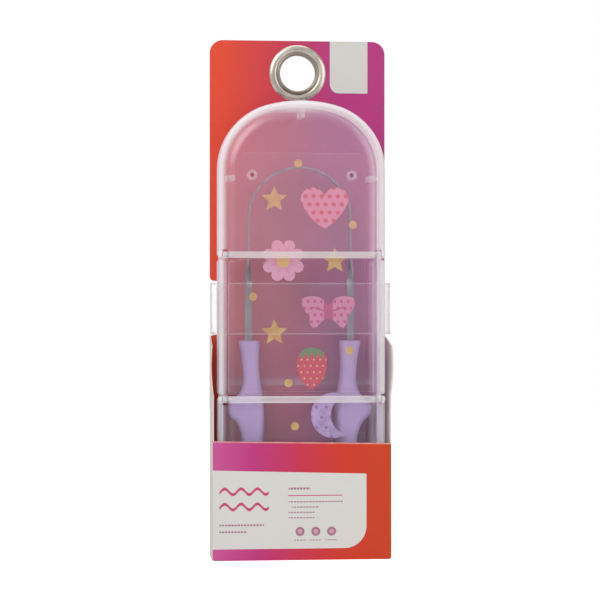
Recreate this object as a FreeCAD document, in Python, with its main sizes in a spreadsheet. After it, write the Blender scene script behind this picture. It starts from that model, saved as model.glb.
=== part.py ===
import FreeCAD, Part
import math
import os
import Sketcher

# A tongue scraper in its frosted travel case, on a hang card with a folded sleeve.
# X runs across the card, Z up, and the front faces -Y.
# The origin is the centre of the eyelet on the card's front face.
# A depth is measured forward from that face, and a drop downward from the eyelet's centre.

doc = FreeCAD.newDocument("tongue_scraper_pack")
sheet = doc.addObject("Spreadsheet::Sheet", "Sizes")

SIZES = (
    # Hang card
    ("card_margin", 2.25),
    ("card_thickness", 0.5),
    ("card_above_eyelet", 13.8),
    ("card_corner_radius", 5.5),
    ("notch_play_above", 1.0),
    ("notch_play_below", 0.4),
    ("notch_depth", 4.0),
    ("notch_radius", 1.8),
    # Folded sleeve, heights above its underside
    ("front_height_left", 49.5),
    ("front_height_right", 48.3),
    ("front_corner_radius", 1.2),
    ("side_height_back", 93.2),
    ("side_height_front", 88.8),
    ("side_bow_start", 68.0),
    ("side_bow_middle", 84.0),
    ("side_bow", 0.9),
    ("side_bow_at_top", 0.6),
    # Eyelet and its washer
    ("eyelet_bore_radius", 7.5),
    ("eyelet_wall", 0.6),
    ("eyelet_flange_radius", 12.0),
    ("eyelet_ring_width", 1.5),
    ("eyelet_ring_height", 1.0),
    ("eyelet_dome_height", 0.8),
    ("eyelet_rim_height", 0.15),
    ("washer_radius", 11.6),
    ("washer_thickness", 0.6),
    ("washer_rounding", 0.2),
    ("clinch_width", 1.3),
    ("clinch_thickness", 0.4),
    # Clear band
    ("band_height", 21.4),
    ("band_below_seam", 11.6),
    ("band_film", 0.3),
    ("band_side_play", 2.7),
    ("band_corner_radius", 4.5),
    ("band_knee_depth", 8.0),
    ("band_neck_play", 1.8),
    # Case
    ("case_width", 70.0),
    ("case_depth", 17.5),
    ("case_standoff", 1.3),
    ("case_drop", 12.9),
    ("lid_length", 64.4),
    ("lower_lid_length", 65.8),
    ("mid_length", 60.0),
    ("shell_wall", 1.4),
    ("arch_corner_radius", 28.0),
    ("arch_crown_radius", 54.0),
    ("rim_radius", 2.2),
    ("tray_depth", 9.2),
    ("tray_inset", 0.6),
    ("tray_draft", 0.6),
    ("slide_gap", 0.3),
    # Hinges of the two lids
    ("barrel_radius", 1.4),
    ("barrel_end_rounding", 1.1),
    ("barrel_gap", 0.5),
    ("ear_inset", 2.0),
    ("ear_width", 2.0),
    ("ear_gap", 0.3),
    ("ear_slot_height", 2.3),
    ("ear_root", 2.0),
    ("pin_radius", 0.7),
    ("pin_length", 5.2),
    ("pin_inset", 0.8),
    ("pin_end_gap", 0.1),
    ("running_clearance", 0.05),
    # Lid details
    ("vent_spacing", 41.6),
    ("vent_height", 33.2),
    ("vent_radius", 0.95),
    ("vent_rim_radius", 2.1),
    ("vent_rim_height", 0.8),
    ("tongue_reach", 2.5),
    ("top_tongue_width", 2.3),
    ("top_tongue_height", 3.9),
    ("top_tongue_inset", 3.4),
    ("side_tongue_width", 3.3),
    ("side_tongue_height", 2.2),
    ("side_tongue_inset", 3.7),
    ("side_tongue_level", 31.9),
    # Mid cover
    ("end_wall", 1.3),
    ("end_wall_depth", 3.0),
    ("end_rounding", 1.2),
    ("rib_thickness", 1.2),
    ("rib_depth", 4.0),
    ("rib_inset", 3.5),
    # Sticker sheet
    ("sheet_width", 54.0),
    ("sheet_height", 150.0),
    ("sheet_below_apex", 21.7),
    ("sheet_thickness", 0.2),
    ("sheet_gap", 0.4),
    ("sheet_corner_radius", 4.0),
    ("sticker_thickness", 0.12),
    ("heart_width", 20.0),
    ("daisy_radius", 9.0),
    ("bow_width", 23.0),
    ("strawberry_height", 17.5),
    ("moon_radius", 9.5),
    ("star_radius", 5.6),
    ("dot_radius", 1.7),
    # Scraper
    ("strip_width", 2.8),
    ("strip_thickness", 1.0),
    ("arch_radius", 21.5),
    ("back_gap", 0.7),
    ("seat_gap", 0.35),
    ("upper_arm", 16.0),
    ("twist_length", 14.0),
    ("lower_arm", 21.2),
    ("tang_length", 24.0),
    ("handle_length", 81.3),
    ("handle_end_radius", 4.3),
    ("handle_lean", 1.2),
    ("wing_reach", 9.9),
    ("handle_thickness", 9.0),
    ("handle_edge_radius", 2.6),
    ("handle_top_rounding", 0.8),
    # One overrun serves all cuts
    ("overrun", 1.0),
)
for row, (alias, number) in enumerate(SIZES, start=1):
    sheet.set(f"A{row}", alias)
    sheet.set(f"B{row}", str(number))
    sheet.setAlias(f"B{row}", alias)
doc.recompute()

# Places that several pieces share, as expressions of the driving sizes
SIDE = "Sizes.case_width / 2"
CARD_HALF = f"({SIDE} + Sizes.card_margin)"
CASE_FRONT = "(Sizes.case_standoff + Sizes.case_depth)"
PARTING = "(Sizes.case_standoff + Sizes.tray_depth)"
HINGE_DEPTH = f"({CASE_FRONT} - Sizes.barrel_radius)"
LID_SKIRT = "(Sizes.case_depth - Sizes.barrel_radius - Sizes.tray_depth - Sizes.slide_gap)"
UPPER_SEAM = "(-Sizes.case_drop - Sizes.lid_length)"
LOWER_SEAM = f"({UPPER_SEAM} - Sizes.mid_length)"
CASE_BOTTOM = f"({LOWER_SEAM} - Sizes.lower_lid_length)"
SLEEVE_FLOOR = f"({CASE_BOTTOM} - Sizes.slide_gap)"
SLEEVE_BOTTOM = f"({SLEEVE_FLOOR} - Sizes.card_thickness)"
SLEEVE_DEPTH = f"({CASE_FRONT} + Sizes.slide_gap)"
BAND_TOP = f"({UPPER_SEAM} - Sizes.band_below_seam)"
BAND_FOOT = f"({BAND_TOP} - Sizes.band_height)"
SHEET_TOP = "(-Sizes.case_drop - Sizes.sheet_below_apex)"
SHEET_FRONT = f"({CASE_FRONT} - Sizes.end_wall_depth - Sizes.sheet_gap)"
SCRAPER_BACK = "(Sizes.case_standoff + Sizes.shell_wall + Sizes.back_gap)"
SCRAPER_DEPTH = f"({SCRAPER_BACK} + Sizes.handle_thickness / 2)"
TRAY_WALL = "(Sizes.tray_inset + Sizes.tray_draft + Sizes.shell_wall)"
ARCH_CORNER = "(Sizes.case_width / 2 - Sizes.arch_corner_radius)"
ARCH_SPREAD = "(Sizes.arch_crown_radius - Sizes.arch_corner_radius)"
ARCH_RISE = f"sqrt({ARCH_SPREAD} ^ 2 - {ARCH_CORNER} ^ 2)"
# The round ends of the handles sit in the rounded lower corners of the case
GRIP_ACROSS = "(Sizes.arch_radius - Sizes.handle_lean)"
END_REACH = f"(Sizes.arch_corner_radius - {TRAY_WALL} - Sizes.handle_end_radius - Sizes.seat_gap)"
END_DROP = f"sqrt({END_REACH} ^ 2 - ({GRIP_ACROSS} - {ARCH_CORNER}) ^ 2)"
END_CENTRE = f"({CASE_BOTTOM} + Sizes.arch_crown_radius - {ARCH_RISE} - {END_DROP})"
HANDLE_TOP = f"({END_CENTRE} - Sizes.handle_end_radius + Sizes.handle_length)"
ARCH_CENTRE = f"({HANDLE_TOP} + Sizes.lower_arm + Sizes.twist_length + Sizes.upper_arm)"
pieces = []


def value(expression):
    return float(sheet.evalExpression(expression))


def at(x, y):
    return FreeCAD.Vector(x, y, 0)


def line(start, end):
    return Part.LineSegment(start, end)


def arc(start, middle, end):
    return Part.Arc(start, middle, end)


def circle(centre, radius):
    return Part.Circle(centre, FreeCAD.Vector(0, 0, 1), radius)


def loop_of(points):
    return [line(a, b) for a, b in zip(points, points[1:] + points[:1])]


# Arc between two points that leaves the first one along a given direction
def arc_along(start, direction, end):
    chord = end - start
    along = FreeCAD.Vector(chord).normalize()
    aside = direction - along * direction.dot(along)
    if aside.Length < Part.Precision.approximation():
        return line(start, end)
    swing = math.atan2(aside.Length, direction.dot(along))
    rise = chord.Length / 2 * math.tan(swing / 2)
    return arc(start, start + chord / 2 + aside.normalize() * rise, end)


# Smooth run through points, with two tangent arcs from each point to the next
def smooth_run(points):
    chords = [b - a for a, b in zip(points, points[1:])]
    inner = [a * (b.Length / a.Length) + b * (a.Length / b.Length) for a, b in zip(chords, chords[1:])]
    directions = [FreeCAD.Vector(d).normalize() for d in [chords[0]] + inner + [chords[-1]]]
    edges = []
    for i, chord in enumerate(chords):
        leave = directions[i]
        arrive = directions[i + 1]
        both = chord.dot(leave + arrive)
        spread = 2 * (1 - leave.dot(arrive))
        reach = chord.dot(chord) / both
        if spread > Part.Precision.approximation():
            reach = (math.sqrt(both**2 + spread * chord.dot(chord)) - both) / spread
        middle = (points[i] + points[i + 1] + (leave - arrive) * reach) / 2
        edges.append(arc_along(points[i], leave, middle))
        at_middle = points[i + 1] - arrive * reach - middle
        edges.append(arc_along(middle, FreeCAD.Vector(at_middle).normalize(), points[i + 1]))
    return edges


# A body of its own for one piece
def new_body(label):
    owner = doc.addObject("PartDesign::Body", label)
    owner.Label = label
    pieces.append(owner)
    return owner


def sketch_on(owner, role, offset=None):
    sketch = owner.newObject("Sketcher::SketchObject", f"{owner.Label}_sketch")
    plane = next(feature for feature in owner.Origin.OriginFeatures if feature.Role == role)
    sketch.AttachmentSupport = (plane, [""])
    sketch.MapMode = "FlatFace"
    if offset:
        sketch.setExpression("AttachmentOffset.Base.z", offset)
        doc.recompute()
    return sketch


# Adds a closed outline and joins each edge to the next
def outline(sketch, edges):
    made = list(sketch.addGeometry(edges, False))
    if len(made) < 3:
        return made
    joints = []
    for here, there in zip(made, made[1:] + made[:1]):
        gaps = {}
        for a, b in ((1, 1), (1, 2), (2, 1), (2, 2)):
            gaps[a, b] = (sketch.getPoint(here, a) - sketch.getPoint(there, b)).Length
        near = min(gaps, key=gaps.get)
        joints.append(Sketcher.Constraint("Coincident", here, near[0], there, near[1]))
    sketch.addConstraint(joints)
    return made


# Binds one measure of a sketch to the sheet
def drive(sketch, kind, places, expression):
    index = sketch.addConstraint(Sketcher.Constraint(kind, *places, value(expression)))
    sketch.setExpression(f"Constraints[{index}]", expression)


def rectangle(sketch, left, bottom, width, height):
    x0 = value(left)
    y0 = value(bottom)
    x1 = x0 + value(width)
    y1 = y0 + value(height)
    base, right, top, side = outline(sketch, loop_of([at(x0, y0), at(x1, y0), at(x1, y1), at(x0, y1)]))
    level = [Sketcher.Constraint("Horizontal", edge) for edge in (base, top)]
    upright = [Sketcher.Constraint("Vertical", edge) for edge in (right, side)]
    sketch.addConstraint(level + upright)
    drive(sketch, "DistanceX", (base, 1, base, 2), width)
    drive(sketch, "DistanceY", (right, 1, right, 2), height)
    drive(sketch, "DistanceX", (-1, 1, base, 1), left)
    drive(sketch, "DistanceY", (-1, 1, base, 1), bottom)


def round_hole(sketch, centre, radius):
    made = outline(sketch, [circle(centre, value(radius))])[0]
    drive(sketch, "Radius", (made,), radius)


def extrude(owner, kind, sketch, length, backwards, both_ways):
    feature = owner.newObject(f"PartDesign::{kind}", f"{owner.Label}_{kind.lower()}")
    feature.Profile = sketch
    feature.setExpression("Length", length)
    feature.Reversed = backwards
    if both_ways:
        feature.SideType = "Symmetric"
    doc.recompute()
    return feature


def pad(owner, sketch, length, backwards=False, both_ways=False):
    return extrude(owner, "Pad", sketch, length, backwards, both_ways)


# Cuts, and stops where a cut misses the solid
def pocket(owner, sketch, length, backwards=False, both_ways=False):
    before = owner.Shape.Volume
    feature = extrude(owner, "Pocket", sketch, length, backwards, both_ways)
    if close(owner.Shape.Volume, before):
        raise RuntimeError(f"a cut of {owner.Label} removed nothing")
    return feature


def revolve(owner, sketch, axis, degrees, backwards=False):
    feature = owner.newObject("PartDesign::Revolution", f"{owner.Label}_turned")
    feature.Profile = sketch
    feature.ReferenceAxis = (sketch, [axis])
    feature.Angle = degrees
    feature.Reversed = backwards
    feature.Refine = False
    doc.recompute()
    return feature


def loft(owner, sketches, ruled):
    feature = owner.newObject("PartDesign::AdditiveLoft", f"{owner.Label}_loft")
    feature.Profile = sketches[0]
    feature.Sections = sketches[1:]
    feature.Ruled = ruled
    doc.recompute()
    return feature


# Rounds the edges whose box passes the test
def round_edges(owner, base, radius, wanted):
    chosen = [f"Edge{i}" for i, edge in enumerate(base.Shape.Edges, start=1) if wanted(edge.BoundBox)]
    feature = owner.newObject("PartDesign::Fillet", f"{owner.Label}_rounding")
    feature.Base = (base, chosen)
    feature.setExpression("Radius", radius)
    doc.recompute()
    return feature


def close(a, b):
    return abs(a - b) < Part.Precision.approximation()


def along_y(box):
    return close(box.XMin, box.XMax) and close(box.ZMin, box.ZMax)


# Edges of one rounded end of the case: sides, two corner arcs and a flat crown, open at the foot
def arch_edges(apex, foot, inset, up):
    half = sheet.case_width / 2 - inset
    corner = sheet.arch_corner_radius - inset
    crown = sheet.arch_crown_radius - inset
    corner_x = value(ARCH_CORNER)
    spread = value(ARCH_SPREAD)
    rise = value(ARCH_RISE)
    crown_drop = sheet.arch_crown_radius
    spring = rise - crown_drop
    touch_x = crown * corner_x / spread
    touch_z = crown * rise / spread - crown_drop
    half_angle = math.atan2(rise, corner_x) / 2
    bulge_x = corner_x + corner * math.cos(half_angle)
    bulge_z = spring + corner * math.sin(half_angle)

    def spot(x, z):
        return at(x, apex + up * z)

    return [
        line(at(-half, foot), spot(-half, spring)),
        arc(spot(-half, spring), spot(-bulge_x, bulge_z), spot(-touch_x, touch_z)),
        arc(spot(-touch_x, touch_z), spot(0, -inset), spot(touch_x, touch_z)),
        arc(spot(touch_x, touch_z), spot(bulge_x, bulge_z), spot(half, spring)),
        line(spot(half, spring), at(half, foot)),
    ]


# Hang card: a die-cut sheet with a necked waist for the clear band
def back_card():
    owner = new_body("back_card")
    half = value(CARD_HALF)
    neck = half - sheet.notch_depth
    top = sheet.card_above_eyelet
    notch_top = value(BAND_TOP) + sheet.notch_play_above
    notch_foot = value(BAND_FOOT) - sheet.notch_play_below
    foot = value(SLEEVE_BOTTOM)
    right = [(half, top), (half, notch_top), (neck, notch_top)]
    right += [(neck, notch_foot), (half, notch_foot), (half, foot)]
    left = [(-x, z) for x, z in reversed(right)]
    sketch = sketch_on(owner, "XZ_Plane")
    made = outline(sketch, loop_of([at(x, z) for x, z in right + left]))
    drive(sketch, "DistanceX", (made[-1], 1, made[-1], 2), f"2 * {CARD_HALF}")
    round_hole(sketch, at(0, 0), "Sizes.eyelet_bore_radius + Sizes.eyelet_wall")
    sheet_of_card = pad(owner, sketch, "Sizes.card_thickness", backwards=True)
    corners = round_edges(
        owner, sheet_of_card, "Sizes.card_corner_radius", lambda box: along_y(box) and close(box.ZMax, top)
    )
    round_edges(
        owner,
        corners,
        "Sizes.notch_radius",
        lambda box: along_y(box) and (close(box.ZMax, notch_top) or close(box.ZMax, notch_foot)),
    )


# Sleeve: floor, front and two side panels folded from the card
def sleeve():
    inner_half = f"({CARD_HALF} - Sizes.card_thickness)"
    floor = new_body("sleeve_floor")
    sketch = sketch_on(floor, "XY_Plane", SLEEVE_BOTTOM)
    rectangle(sketch, f"-{inner_half}", f"-{SLEEVE_DEPTH}", f"2 * {inner_half}", SLEEVE_DEPTH)
    pad(floor, sketch, "Sizes.card_thickness")

    front = new_body("sleeve_front")
    half = value(CARD_HALF)
    foot = value(SLEEVE_BOTTOM)
    sketch = sketch_on(front, "XZ_Plane", SLEEVE_DEPTH)
    corners = [
        at(-half, foot),
        at(half, foot),
        at(half, foot + sheet.front_height_right),
        at(-half, foot + sheet.front_height_left),
    ]
    base, right, top, left = outline(sketch, loop_of(corners))
    drive(sketch, "DistanceX", (base, 1, base, 2), f"2 * {CARD_HALF}")
    drive(sketch, "DistanceY", (right, 1, right, 2), "Sizes.front_height_right")
    drive(sketch, "DistanceY", (left, 2, left, 1), "Sizes.front_height_left")
    panel = pad(front, sketch, "Sizes.card_thickness")
    round_edges(front, panel, "Sizes.front_corner_radius", lambda box: along_y(box) and close(box.ZMax, foot))
    for label, side in (("sleeve_left", -1), ("sleeve_right", 1)):
        side_panel(label, side)


# One side panel, flat along its back fold and bowed outward along its free front edge
def side_panel(label, side):
    owner = new_body(label)
    foot = value(SLEEVE_BOTTOM)
    outer = value(CARD_HALF)
    inner = outer - sheet.card_thickness

    def section(depth, height, bow, top_bow):
        sketch = sketch_on(owner, "XZ_Plane", depth)
        start = foot + sheet.side_bow_start
        middle = foot + sheet.side_bow_middle
        top = foot + height
        outer_run = [at(side * outer, foot), at(side * outer, start)]
        outer_run += [at(side * (outer + bow), middle), at(side * (outer + top_bow), top)]
        inner_run = [at(side * inner, foot), at(side * inner, start)]
        inner_run += [at(side * (inner + bow), middle), at(side * (inner + top_bow), top)]
        outer_bend = arc(*outer_run[1:]) if bow else line(outer_run[1], outer_run[3])
        inner_bend = arc(*inner_run[:0:-1]) if bow else line(inner_run[3], inner_run[1])
        edges = [
            line(inner_run[0], outer_run[0]),
            line(outer_run[0], outer_run[1]),
            outer_bend,
            line(outer_run[3], inner_run[3]),
            inner_bend,
            line(inner_run[1], inner_run[0]),
        ]
        outline(sketch, edges)
        return sketch

    back = section(None, sheet.side_height_back, 0, 0)
    front = section(SLEEVE_DEPTH, sheet.side_height_front, sheet.side_bow, sheet.side_bow_at_top)
    loft(owner, [back, front], True)


# Eyelet: one turned shell with a raised ring round the bore, a domed flange and a clinched back
def eyelet():
    owner = new_body("eyelet")
    bore = sheet.eyelet_bore_radius
    barrel = bore + sheet.eyelet_wall
    ring = bore + sheet.eyelet_ring_width
    rim = sheet.eyelet_flange_radius
    ring_foot = sheet.eyelet_ring_height / 2
    clinch_front = sheet.card_thickness + sheet.washer_thickness
    clinch_back = clinch_front + sheet.clinch_thickness
    lip = barrel + sheet.clinch_width
    sketch = sketch_on(owner, "XY_Plane")
    edges = [
        line(at(bore, clinch_back), at(bore, -ring_foot)),
        arc(at(bore, -ring_foot), at((bore + ring) / 2, -sheet.eyelet_ring_height), at(ring, -ring_foot)),
        arc(
            at(ring, -ring_foot),
            at((ring + rim) / 2, -sheet.eyelet_dome_height),
            at(rim, -sheet.eyelet_rim_height),
        ),
        line(at(rim, -sheet.eyelet_rim_height), at(rim, 0)),
        line(at(rim, 0), at(barrel, 0)),
        line(at(barrel, 0), at(barrel, clinch_front)),
        line(at(barrel, clinch_front), at(lip, clinch_front)),
        line(at(lip, clinch_front), at(lip, clinch_back)),
        line(at(lip, clinch_back), at(bore, clinch_back)),
    ]
    made = outline(sketch, edges)
    drive(sketch, "DistanceX", (-1, 1, made[0], 1), "Sizes.eyelet_bore_radius")
    revolve(owner, sketch, "V_Axis", 360)

    washer = new_body("eyelet_washer")
    sketch = sketch_on(washer, "XY_Plane")
    rectangle(
        sketch,
        "Sizes.eyelet_bore_radius + Sizes.eyelet_wall",
        "Sizes.card_thickness",
        "Sizes.washer_radius - Sizes.eyelet_bore_radius - Sizes.eyelet_wall",
        "Sizes.washer_thickness",
    )
    ring = revolve(washer, sketch, "V_Axis", 360)
    outer = sheet.washer_radius
    back = sheet.card_thickness + sheet.washer_thickness
    round_edges(
        washer, ring, "Sizes.washer_rounding", lambda box: close(box.XMax, outer) and close(box.YMax, back)
    )


# Clear band: a film belt round the case, drawn in to the card's neck at the back
def clear_band():
    owner = new_body("clear_band")
    front = value(SLEEVE_DEPTH) + sheet.band_film
    neck = value(CARD_HALF) - sheet.notch_depth + sheet.band_neck_play

    def belt(inset):
        half = value(SIDE) + sheet.band_side_play - inset
        radius = sheet.band_corner_radius - inset
        back = sheet.card_thickness + sheet.band_film - inset
        ahead = -front + inset
        bend = radius * (1 - math.sqrt(0.5))
        right = [
            line(at(-half + radius, ahead), at(half - radius, ahead)),
            arc(at(half - radius, ahead), at(half - bend, ahead + bend), at(half, ahead + radius)),
            line(at(half, ahead + radius), at(half, -sheet.band_knee_depth)),
            line(at(half, -sheet.band_knee_depth), at(neck - inset, back)),
            line(at(neck - inset, back), at(-neck + inset, back)),
        ]
        left = [
            line(at(-neck + inset, back), at(-half, -sheet.band_knee_depth)),
            line(at(-half, -sheet.band_knee_depth), at(-half, ahead + radius)),
            arc(at(-half, ahead + radius), at(-half + bend, ahead + bend), at(-half + radius, ahead)),
        ]
        return right + left

    sketch = sketch_on(owner, "XY_Plane", BAND_FOOT)
    outline(sketch, belt(0))
    outline(sketch, belt(sheet.band_film))
    pad(owner, sketch, "Sizes.band_height")


# Tray: the back half of the case, drafted and set in a little from the covers
def case_tray():
    owner = new_body("case_tray")
    apex = -sheet.case_drop
    bottom = value(CASE_BOTTOM)
    middle = (apex + bottom) / 2

    def tray_outline(depth, inset):
        sketch = sketch_on(owner, "XZ_Plane", depth)
        upper = arch_edges(apex, middle, value(inset), 1)
        lower = arch_edges(bottom, middle, value(inset), -1)
        made = outline(sketch, upper + lower[::-1])
        drive(sketch, "DistanceX", (made[0], 1, made[4], 2), f"Sizes.case_width - 2 * {inset}")
        return sketch

    back_edge = tray_outline("Sizes.case_standoff", "(Sizes.tray_inset + Sizes.tray_draft)")
    block = loft(owner, [back_edge, tray_outline(PARTING, "Sizes.tray_inset")], True)
    back = -sheet.case_standoff
    round_edges(owner, block, "Sizes.rim_radius", lambda box: close(box.YMin, back) and close(box.YMax, back))
    pocket(owner, tray_outline(PARTING, TRAY_WALL), "Sizes.tray_depth - Sizes.shell_wall")


# One lid, drawn about its own hinge axis and turned end for end for the lower one
def lid(label, length, seam, turn):
    owner = new_body(label)

    def shell_outline(inset, foot):
        sketch = sketch_on(owner, "XZ_Plane", f"-{LID_SKIRT}")
        half = sheet.case_width / 2 - value(inset)
        edges = arch_edges(value(length), foot, value(inset), 1) + [line(at(half, foot), at(-half, foot))]
        made = outline(sketch, edges)
        drive(sketch, "Radius", (made[2],), f"Sizes.arch_crown_radius - {inset}")
        return sketch

    shell = pad(owner, shell_outline("0", 0), f"{LID_SKIRT} + Sizes.barrel_radius")
    front = -sheet.barrel_radius
    round_edges(
        owner,
        shell,
        "Sizes.rim_radius",
        lambda box: close(box.YMin, front) and close(box.YMax, front) and not close(box.ZMax, 0),
    )
    hollow = shell_outline("Sizes.shell_wall", -sheet.overrun)
    pocket(owner, hollow, f"{LID_SKIRT} + Sizes.barrel_radius - Sizes.shell_wall", backwards=True)
    hinge_barrel(owner)
    vent_rings(owner)
    tongues(owner, length)
    owner.Placement = FreeCAD.Placement(FreeCAD.Vector(), FreeCAD.Rotation(FreeCAD.Vector(0, 1, 0), turn))
    owner.setExpression("Placement.Base.y", f"-{HINGE_DEPTH}")
    owner.setExpression("Placement.Base.z", seam)


# Hinge barrel along a lid's foot, slotted for the ears and bored for the pins
def hinge_barrel(owner):
    half = value(SIDE)
    radius = sheet.barrel_radius
    ease = sheet.barrel_end_rounding
    shoulder = ease * (1 - math.sqrt(0.5))
    sketch = sketch_on(owner, "XY_Plane")
    edges = [
        line(at(-half, 0), at(half, 0)),
        line(at(half, 0), at(half, radius - ease)),
        arc(at(half, radius - ease), at(half - shoulder, radius - shoulder), at(half - ease, radius)),
        line(at(half - ease, radius), at(-half + ease, radius)),
        arc(at(-half + ease, radius), at(-half + shoulder, radius - shoulder), at(-half, radius - ease)),
        line(at(-half, radius - ease), at(-half, 0)),
    ]
    outline(sketch, edges)
    revolve(owner, sketch, "H_Axis", 360)
    slot_width = "(Sizes.ear_width + 2 * Sizes.ear_gap)"
    slot_reach = f"({SIDE} - Sizes.ear_inset + Sizes.ear_gap)"
    bore_length = "(Sizes.pin_length + 2 * Sizes.pin_end_gap)"
    bore_reach = f"({SIDE} - Sizes.pin_inset + Sizes.pin_end_gap)"
    slots = sketch_on(owner, "XZ_Plane")
    for left in (f"-{slot_reach}", f"{slot_reach} - {slot_width}"):
        rectangle(
            slots,
            left,
            "-Sizes.barrel_radius - Sizes.overrun",
            slot_width,
            "Sizes.barrel_radius + Sizes.overrun + Sizes.ear_slot_height",
        )
    pocket(owner, slots, "2 * (Sizes.barrel_radius + Sizes.overrun)", both_ways=True)
    for start in (f"-{bore_reach}", f"{bore_reach} - {bore_length}"):
        bore = sketch_on(owner, "YZ_Plane", start)
        round_hole(bore, at(0, 0), "Sizes.pin_radius + Sizes.running_clearance")
        pocket(owner, bore, bore_length, backwards=True)


# Two vent holes with raised rims on the inside of a lid
def vent_rings(owner):
    places = [at(side * sheet.vent_spacing / 2, sheet.vent_height) for side in (-1, 1)]
    rims = sketch_on(owner, "XZ_Plane", "Sizes.barrel_radius - Sizes.shell_wall / 2")
    holes = sketch_on(owner, "XZ_Plane")
    for place in places:
        round_hole(rims, place, "Sizes.vent_rim_radius")
        round_hole(holes, place, "Sizes.vent_radius")
    pad(owner, rims, "Sizes.vent_rim_height + Sizes.shell_wall / 2", backwards=True)
    pocket(owner, holes, "2 * (Sizes.barrel_radius + Sizes.shell_wall + Sizes.overrun)", both_ways=True)


# Tongues that guide a lid into the tray: one at the crown and one at each side
def tongues(owner, length):
    sketch = sketch_on(owner, "XZ_Plane", f"-({LID_SKIRT} + Sizes.tongue_reach)")
    rectangle(
        sketch,
        "-Sizes.top_tongue_width / 2",
        f"{length} - Sizes.top_tongue_inset - Sizes.top_tongue_height",
        "Sizes.top_tongue_width",
        "Sizes.top_tongue_height",
    )
    side_start = f"({SIDE} - Sizes.side_tongue_inset)"
    for left in (f"-{side_start}", f"{side_start} - Sizes.side_tongue_width"):
        rectangle(
            sketch,
            left,
            "Sizes.side_tongue_level - Sizes.side_tongue_height / 2",
            "Sizes.side_tongue_width",
            "Sizes.side_tongue_height",
        )
    pad(owner, sketch, f"{LID_SKIRT} + Sizes.tongue_reach + Sizes.barrel_radius - Sizes.shell_wall / 2")


# Mid cover: the fixed bridge between the two lids, with end walls, inner ribs and four hinge ears
def mid_cover():
    owner = new_body("mid_cover")
    seam_gap = "(Sizes.barrel_radius + Sizes.barrel_gap)"
    foot = f"({LOWER_SEAM} + {seam_gap})"
    height = f"(Sizes.mid_length - 2 * {seam_gap})"
    inner_half = f"({SIDE} - Sizes.shell_wall)"
    front_depth = "(Sizes.case_depth - Sizes.tray_depth)"
    half = value(SIDE)
    front = -value(CASE_FRONT)
    ends = (value(foot), value(foot) + value(height))

    sketch = sketch_on(owner, "XZ_Plane", PARTING)
    rectangle(sketch, f"-{SIDE}", foot, f"2 * {SIDE}", height)
    block = pad(owner, sketch, front_depth)
    sides = round_edges(
        owner,
        block,
        "Sizes.rim_radius",
        lambda box: close(abs(box.XMin), half) and close(box.XMin, box.XMax) and close(box.YMax, front),
    )
    round_edges(
        owner,
        sides,
        "Sizes.end_rounding",
        lambda box: close(box.YMax, front) and any(close(box.ZMin, z) and close(box.ZMax, z) for z in ends),
    )
    cavity = sketch_on(owner, "XZ_Plane", PARTING)
    rectangle(
        cavity,
        f"-{inner_half}",
        f"{foot} + Sizes.end_wall",
        f"2 * {inner_half}",
        f"{height} - 2 * Sizes.end_wall",
    )
    pocket(owner, cavity, f"{front_depth} - Sizes.shell_wall", backwards=True)
    passage = sketch_on(owner, "XZ_Plane", PARTING)
    rectangle(
        passage,
        f"-{inner_half}",
        f"{foot} - Sizes.overrun",
        f"2 * {inner_half}",
        f"{height} + 2 * Sizes.overrun",
    )
    pocket(owner, passage, f"{front_depth} - Sizes.end_wall_depth", backwards=True)
    ribs = sketch_on(owner, "XZ_Plane", f"{CASE_FRONT} - Sizes.shell_wall / 2")
    rib_outer = f"({SIDE} - Sizes.rib_inset)"
    for left in (f"-{rib_outer}", f"{rib_outer} - Sizes.rib_thickness"):
        rectangle(
            ribs, left, f"{foot} + Sizes.end_wall / 2", "Sizes.rib_thickness", f"{height} - Sizes.end_wall"
        )
    pad(owner, ribs, "Sizes.rib_depth + Sizes.shell_wall / 2", backwards=True)
    for seam, up in ((UPPER_SEAM, 1), (LOWER_SEAM, -1)):
        for start in (f"-({SIDE} - Sizes.ear_inset)", f"{SIDE} - Sizes.ear_inset - Sizes.ear_width"):
            hinge_ear(owner, seam, up, start)


# One ear: a rounded lug round the hinge axis, bored for its pin
def hinge_ear(owner, seam, up, start):
    axis_y = -value(HINGE_DEPTH)
    axis_z = value(seam)
    radius = sheet.barrel_radius
    root = axis_z - up * (radius + sheet.barrel_gap + sheet.ear_root)
    sketch = sketch_on(owner, "YZ_Plane", start)
    edges = [
        arc(at(axis_y - radius, axis_z), at(axis_y, axis_z + up * radius), at(axis_y + radius, axis_z)),
        line(at(axis_y + radius, axis_z), at(axis_y + radius, root)),
        line(at(axis_y + radius, root), at(axis_y - radius, root)),
        line(at(axis_y - radius, root), at(axis_y - radius, axis_z)),
    ]
    made = outline(sketch, edges)
    drive(sketch, "Radius", (made[0],), "Sizes.barrel_radius")
    pad(owner, sketch, "Sizes.ear_width")
    hole = sketch_on(owner, "YZ_Plane", start)
    round_hole(hole, at(axis_y, axis_z), "Sizes.pin_radius")
    pocket(owner, hole, "Sizes.ear_width", backwards=True)


# A pair of short hinge pins in one seam
def hinge_pins(label, seam):
    pins = []
    reach = f"({SIDE} - Sizes.pin_inset)"
    for start in (f"-{reach}", f"{reach} - Sizes.pin_length"):
        pin = doc.addObject("Part::Cylinder", f"{label}_pin")
        pin.setExpression("Radius", "Sizes.pin_radius")
        pin.setExpression("Height", "Sizes.pin_length")
        pin.Placement = FreeCAD.Placement(FreeCAD.Vector(), FreeCAD.Rotation(FreeCAD.Vector(0, 1, 0), 90))
        pin.setExpression("Placement.Base.x", start)
        pin.setExpression("Placement.Base.y", f"-{HINGE_DEPTH}")
        pin.setExpression("Placement.Base.z", seam)
        pins.append(pin)
    pair = doc.addObject("Part::Compound", label)
    pair.Label = label
    pair.Links = pins
    pieces.append(pair)


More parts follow.
